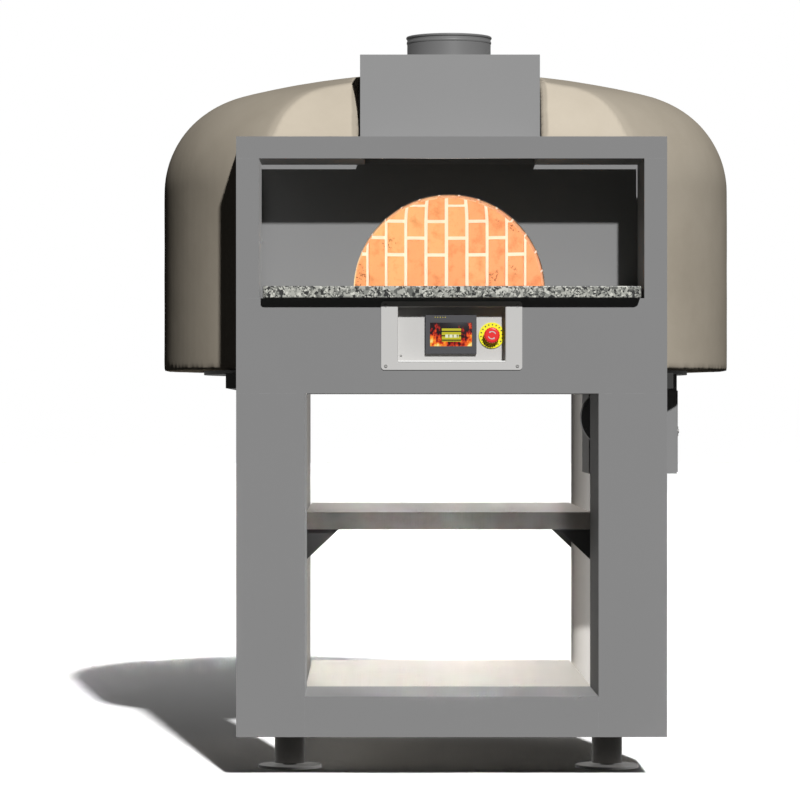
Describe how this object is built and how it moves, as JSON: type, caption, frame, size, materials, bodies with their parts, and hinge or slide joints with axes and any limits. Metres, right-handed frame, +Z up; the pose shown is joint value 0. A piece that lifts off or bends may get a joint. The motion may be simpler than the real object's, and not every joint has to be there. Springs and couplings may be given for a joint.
{
  "type": "rotating deck pizza oven",
  "caption": "Floor-standing domed pizza oven with a turning stone deck, granite landing shelf, smoke hood, control panel and open storage bay on tube legs.",
  "frame": {"origin": "centre of the bounding box in plan, on the floor under the levelling feet", "axes": "+Z up, +Y from the facade towards the back of the dome, +X to the right of someone facing the mouth"},
  "size_m": [1.55, 1.582, 1.93],
  "materials": {
    "facade_paint": "satin",
    "hood_paint": "satin",
    "frame_black": "satin",
    "leg_paint": "satin",
    "tray_cream": "satin",
    "shelf_beige": "satin",
    "foot_steel": "satin",
    "granite": "polished",
    "stucco": "matte",
    "refractory": "matte",
    "deck_stone": "matte",
    "insulation": "matte",
    "flue_steel": "satin",
    "machined_steel": "satin",
    "drive_iron": "satin",
    "blower_black": "satin",
    "cabinet_grey": "satin",
    "bezel_grey": "satin",
    "screen_plastic": "satin",
    "screen_glass": "gloss",
    "warning_yellow": "gloss",
    "stop_red": "gloss",
    "stem_grey": "satin"
  },
  "bodies": {
    "root": {"leg_front_left": "leg_paint", "leg_front_right": "leg_paint", "leg_rear_left": "leg_paint", "leg_rear_right": "leg_paint", "base_frame": "frame_black", "base_plate": "frame_black", "bottom_tray": "tray_cream", "mid_shelf": "shelf_beige", "shelf_gussets": "frame_black", "facade_column_left": "facade_paint", "facade_column_right": "facade_paint", "facade_post_left": "facade_paint", "facade_post_right": "facade_paint", "facade_plinth": "facade_paint", "facade_header": "facade_paint", "facade_apron": "facade_paint", "storage_jamb_left": "facade_paint", "storage_jamb_right": "facade_paint", "storage_sill": "facade_paint", "storage_ceiling": "facade_paint", "niche_wall_left": "facade_paint", "niche_wall_right": "facade_paint", "niche_ceiling": "facade_paint", "niche_back": "facade_paint", "granite_shelf": "granite", "hood_throat": "hood_paint", "hood_box": "hood_paint", "flue_collar": "flue_steel", "dome_shell": "stucco", "insulation_blanket": "insulation", "refractory_dome": "refractory", "mouth_sill": "refractory", "hearth_insulation": "insulation", "deck_bearings": "drive_iron", "drive_chain": "drive_iron", "gearmotor": "drive_iron", "blower_housing": "blower_black", "blower_motor": "drive_iron", "burner_tube": "machined_steel", "service_cabinet": "cabinet_grey", "control_recess": "bezel_grey", "control_bezel": "bezel_grey", "panel_screws": "machined_steel", "touchscreen_housing": "screen_plastic", "touchscreen_glass": "screen_glass", "estop_collar": "warning_yellow"},
    "deck": {"deck_stone": "deck_stone", "turntable_plate": "machined_steel", "deck_shaft": "machined_steel", "deck_sprocket": "drive_iron"},
    "motor_drive": {"motor_sprocket": "drive_iron"},
    "blower_rotor": {"blower_wheel": "machined_steel"},
    "door": {"cabinet_door": "cabinet_grey"},
    "latch": {"door_latch": "drive_iron"},
    "stop_plunger": {"estop_plunger": "stem_grey"},
    "stop_head": {"estop_head": "stop_red"},
    "foot_front_left": {"foot_front_left": "foot_steel"},
    "foot_front_right": {"foot_front_right": "foot_steel"},
    "foot_rear_left": {"foot_rear_left": "foot_steel"},
    "foot_rear_right": {"foot_rear_right": "foot_steel"}
  },
  "joints": [
    {"name": "deck_spin", "type": "hinge", "parent": "root", "child": "deck", "pos_m": [0, 0.016, 1.2], "axis": [0, 0, 1], "continuous": true},
    {"name": "motor_spin", "type": "hinge", "parent": "root", "child": "motor_drive", "pos_m": [0.46416, 0.016, 1], "axis": [0, 0, 1], "continuous": true},
    {"name": "blower_spin", "type": "hinge", "parent": "root", "child": "blower_rotor", "pos_m": [0.437, -0.269, 0.926], "axis": [0, 1, 0], "continuous": true},
    {"name": "door_swing", "type": "hinge", "parent": "root", "child": "door", "pos_m": [0.627, 0.0675, 0.89], "axis": [0, 0, 1], "range_deg": [0, 110]},
    {"name": "latch_turn", "type": "hinge", "parent": "door", "child": "latch", "pos_m": [0.622, -0.198, 0.89], "axis": [1, 0, 0], "range_deg": [0, 90]},
    {"name": "stop_push", "type": "slide", "parent": "root", "child": "stop_plunger", "axis": [0, 1, 0], "range_m": [0, 0.005], "stiffness_N_per_m": 1500},
    {"name": "stop_twist", "type": "hinge", "parent": "stop_plunger", "child": "stop_head", "pos_m": [0.1035, -0.719, 1.138], "axis": [0, 1, 0], "range_deg": [0, 45], "stiffness_Nm_per_rad": 0.1},
    {"name": "foot_front_left_level", "type": "slide", "parent": "root", "child": "foot_front_left", "axis": [0, 0, -1], "range_m": [-0.004, 0.025]},
    {"name": "foot_front_right_level", "type": "slide", "parent": "root", "child": "foot_front_right", "axis": [0, 0, -1], "range_m": [-0.004, 0.025]},
    {"name": "foot_rear_left_level", "type": "slide", "parent": "root", "child": "foot_rear_left", "axis": [0, 0, -1], "range_m": [-0.004, 0.025]},
    {"name": "foot_rear_right_level", "type": "slide", "parent": "root", "child": "foot_rear_right", "axis": [0, 0, -1], "range_m": [-0.004, 0.025]}
  ],
  "couplings": [
    {"joint": "motor_spin", "follows": "deck_spin", "ratio": 4}
  ]
}
